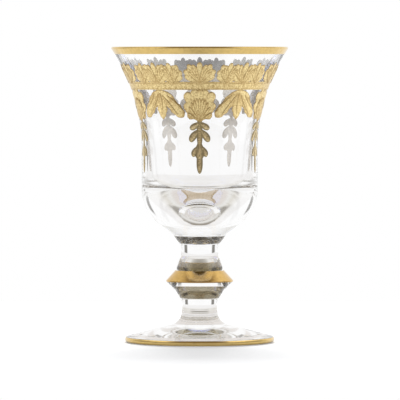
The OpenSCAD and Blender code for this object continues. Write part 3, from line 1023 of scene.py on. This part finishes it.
def studio_world():
    """White all round for the camera, with dark strips and soft panels that glass and gold show"""
    world = bpy.data.worlds.new("studio")
    bpy.context.scene.world = world
    world.use_nodes = True
    tree = world.node_tree
    tree.nodes.clear()
    place = node(tree, "ShaderNodeTexCoord").outputs["Generated"]
    x, y, z = node(tree, "ShaderNodeSeparateXYZ", Vector=place).outputs
    azimuth = calc(tree, "ARCTAN2", x, calc(tree, "MULTIPLY", y, -1))
    around = scaled(tree, azimuth, from_min=-pi, from_max=pi)
    upward = scaled(tree, calc(tree, "ARCSINE", z), from_min=-pi / 2, from_max=pi / 2)

    def grey(source, span, stops):
        """Brightness between angles in degrees, around the horizon or upwards"""
        return ramp(tree, source, [(angle / span + 0.5, (level, level, level)) for angle, level in stops])

    def darken(before, colour, sides, heights):
        """Colours the part of the room between some sides and heights, where both ramps are 1"""
        share = calc(tree, "MULTIPLY", grey(around, 360, sides), grey(upward, 180, heights))
        return mix(tree, share, before, solid(colour))

    everywhere = [(-180, 1), (180, 1)]
    sides = grey(around, 360, [(-180, 1), (-120, 0.9), (-100, 1.1), (-62, 1.35), (-44, 0.2), (40, 0.16), (58, 1.42),
                               (100, 1.35), (120, 1.1), (180, 1)])
    warm = darken(sides, (0.22, 0.17, 0.09), [(-60, 0), (-40, 1), (36, 1), (56, 0)], [(-90, 1), (90, 1)])
    low = darken(warm, (0.45, 0.44, 0.47), [(-135, 0), (-105, 1), (105, 1), (135, 0)],
                 [(-7, 0), (-3, 1), (24, 1), (32, 0)])
    seen_in_gold = darken(low, (0.3, 0.26, 0.22), everywhere, [(48, 0), (66, 1), (90, 1)])

    white = grey(around, 360, everywhere)
    strips = darken(white, (0.18, 0.17, 0.15),
                    [(-150, 0), (-147, 1), (-137, 1), (-134, 0), (134, 0), (137, 1), (147, 1), (150, 0)],
                    [(-20, 0), (-15, 1), (9, 1), (13, 0)])
    front = darken(strips, (0.58, 0.57, 0.55), [(-60, 0), (-30, 1), (30, 1), (60, 0)],
                   [(-4, 0), (1, 1), (24, 1), (34, 0)])
    upper = darken(front, (0.74, 0.73, 0.7), [(-165, 0), (-140, 1), (140, 1), (165, 0)], [(26, 0), (34, 1), (90, 1)])
    high_front = darken(upper, (0.4, 0.4, 0.41), [(-60, 0), (-35, 1), (35, 1), (60, 0)],
                        [(40, 0), (44, 1), (56, 1), (60, 0)])
    seen_through = darken(high_front, (0.04, 0.034, 0.025), everywhere, [(63, 0), (71, 1), (90, 1)])

    path = node(tree, "ShaderNodeLightPath")
    inside = mix(tree, gold_in_glass(tree, path), seen_in_gold, (0.85, 1.1, 2.5, 1))
    in_gold = mix(tree, path.outputs["Is Glossy Ray"], (0.8, 0.8, 0.8, 1), inside)
    in_glass = mix(tree, path.outputs["Is Transmission Ray"], in_gold, seen_through)
    room = mix(tree, path.outputs["Is Camera Ray"], in_glass, (1, 1, 1, 1))
    sky = node(tree, "ShaderNodeBackground", Color=room)
    tree.links.new(sky.outputs[0], node(tree, "ShaderNodeOutputWorld").inputs["Surface"])


def pale_floor():
    """Matt floor that keeps the shadow; through the glass it glows with painted shade: soft rings around the foot and
    a dark arc behind it on its +Y side
    """
    material, tree = new_material("pale_floor")
    if tree:
        colour = finishes().floor
        tree.nodes.remove(tree.nodes["Principled BSDF"])
        path = node(tree, "ShaderNodeLightPath")
        # Painted shade in reflections: glossy rays see the floor at 0.85 of its colour, and rays with two reflections
        # and two passes through glass see it blue, a painted reflection that dims the gold shown in the bowl's base
        floor_and_reflected_shade = mix(tree, path.outputs["Is Glossy Ray"], solid(colour), solid([0.85 * c for c in colour]))
        inside = mix(tree, gold_in_glass(tree, path), floor_and_reflected_shade, (0.5, 0.58, 1.0, 1))
        matt = node(tree, "ShaderNodeBsdfDiffuse", Color=inside)
        glow = node(tree, "ShaderNodeEmission", Strength=calc(tree, "MULTIPLY", path.outputs["Is Camera Ray"], 0.1))
        both = node(tree, "ShaderNodeAddShader")
        tree.links.new(matt.outputs[0], both.inputs[0])
        tree.links.new(glow.outputs[0], both.inputs[1])

        # Painted shadow seen through the glass: the floor glows with soft rings of shade around the axis and a dark
        # arc at the back, instead of taking light
        place = node(tree, "ShaderNodeTexCoord").outputs["Object"]
        away = node(tree, "ShaderNodeVectorMath", operation="LENGTH", Vector=place).outputs["Value"]
        share = calc(tree, "DIVIDE", away, SHADE_REACH)
        shade = ramp(tree, share, [(0, (0.76, 0.76, 0.75)), (0.21, (0.74, 0.69, 0.65)), (0.36, (0.72, 0.67, 0.63)),
                                   (0.45, (0.8, 0.79, 0.76)), (0.58, (0.72, 0.69, 0.63)), (0.75, (0.83, 0.81, 0.77)),
                                   (1, (0.92, 0.91, 0.9))])
        x, y, _ = node(tree, "ShaderNodeSeparateXYZ", Vector=place).outputs
        bearing = calc(tree, "ARCTAN2", calc(tree, "ABSOLUTE", x), y)
        behind = ramp(tree, bearing, [(radians(14), (1, 1, 1)), (radians(22), (0, 0, 0))])
        ring = ramp(tree, share, [(0.47, (0, 0, 0)), (0.54, (0.7, 0.7, 0.7)), (0.66, (0.7, 0.7, 0.7)),
                                  (0.78, (0, 0, 0))])
        shadow = mix(tree, calc(tree, "MULTIPLY", behind, ring), shade, (0.14, 0.12, 0.09, 1))
        through = node(tree, "ShaderNodeEmission", Color=shadow)
        seen = node(tree, "ShaderNodeMixShader", Fac=path.outputs["Is Transmission Ray"])
        tree.links.new(both.outputs[0], seen.inputs[1])
        tree.links.new(through.outputs[0], seen.inputs[2])
        tree.links.new(seen.outputs[0], tree.nodes["Material Output"].inputs["Surface"])
    return material


class OBJECT_OT_glass_stage(bpy.types.Operator):
    """Set up the pale floor, the studio light and the camera"""

    bl_idname = "object.glass_stage"
    bl_label = "Stage"

    def execute(self, context):
        deselect()
        bpy.ops.mesh.primitive_plane_add(size=FLOOR_SIZE, location=(0, 0, -FLOOR_DROP))
        floor = context.object
        floor.name = "floor"
        floor.data.materials.append(pale_floor())
        studio_world()
        bpy.ops.object.light_add(type="AREA", location=LAMP_PLACE, rotation=(LAMP_TILT, 0, 0))
        lamp = context.object
        lamp.data.size = LAMP_SIZE
        lamp.data.energy = LAMP_POWER
        lamp.visible_glossy = False
        lamp.visible_transmission = False
        bpy.ops.object.camera_add(location=(CAMERA_SIDE, -CAMERA_DISTANCE, CAMERA_HEIGHT),
                                  rotation=(pi / 2 - CAMERA_PITCH, 0, 0))
        camera = context.object
        camera.data.angle = 2 * atan2(CAMERA_VIEW / 2, CAMERA_DISTANCE)
        camera.data.clip_end = 100
        context.scene.camera = camera
        context.scene.view_settings.view_transform = "Standard"
        cycles = context.scene.cycles
        cycles.max_bounces = BOUNCES
        cycles.transmission_bounces = BOUNCES
        cycles.glossy_bounces = BOUNCES
        cycles.transparent_max_bounces = BOUNCES
        return {"FINISHED"}


class VIEW3D_PT_water_glass(bpy.types.Panel):
    """Sidebar panel with the pieces and their sizes"""

    bl_label = "Water Glass"
    bl_idname = "VIEW3D_PT_water_glass"
    bl_space_type = "VIEW_3D"
    bl_region_type = "UI"
    bl_category = "Water Glass"

    def draw(self, context):
        for operator in OPERATORS:
            self.layout.operator(operator.bl_idname)
        for group in (context.scene.glass_sizes, context.scene.gold_sizes, context.scene.glass_finishes):
            box = self.layout.box()
            for name in group.__annotations__:
                box.prop(group, name)


OPERATORS = (
    OBJECT_OT_glass_foot,
    OBJECT_OT_glass_stems,
    OBJECT_OT_glass_knop,
    OBJECT_OT_glass_collar,
    OBJECT_OT_glass_bowl,
    OBJECT_OT_gold_bands,
    OBJECT_OT_gold_palmettes,
    OBJECT_OT_gold_drops,
    OBJECT_OT_gold_sprays,
    OBJECT_OT_gold_crests,
    OBJECT_OT_glass_stage,
)
CLASSES = (GlassSizes, GoldSizes, Finishes) + OPERATORS + (VIEW3D_PT_water_glass,)


def register():
    for cls in CLASSES:
        bpy.utils.register_class(cls)
    bpy.types.Scene.glass_sizes = PointerProperty(type=GlassSizes)
    bpy.types.Scene.gold_sizes = PointerProperty(type=GoldSizes)
    bpy.types.Scene.glass_finishes = PointerProperty(type=Finishes)


def unregister():
    del bpy.types.Scene.glass_finishes
    del bpy.types.Scene.gold_sizes
    del bpy.types.Scene.glass_sizes
    for cls in reversed(CLASSES):
        bpy.utils.unregister_class(cls)


def main():
    register()
    bpy.ops.object.glass_foot()
    bpy.ops.object.glass_stems()
    bpy.ops.object.glass_knop()
    bpy.ops.object.glass_collar()
    bpy.ops.object.glass_bowl()
    bpy.ops.object.gold_bands()
    bpy.ops.object.gold_palmettes()
    bpy.ops.object.gold_drops()
    bpy.ops.object.gold_sprays()
    bpy.ops.object.gold_crests()
    bpy.ops.object.glass_stage()


if __name__ == "__main__":
    main()
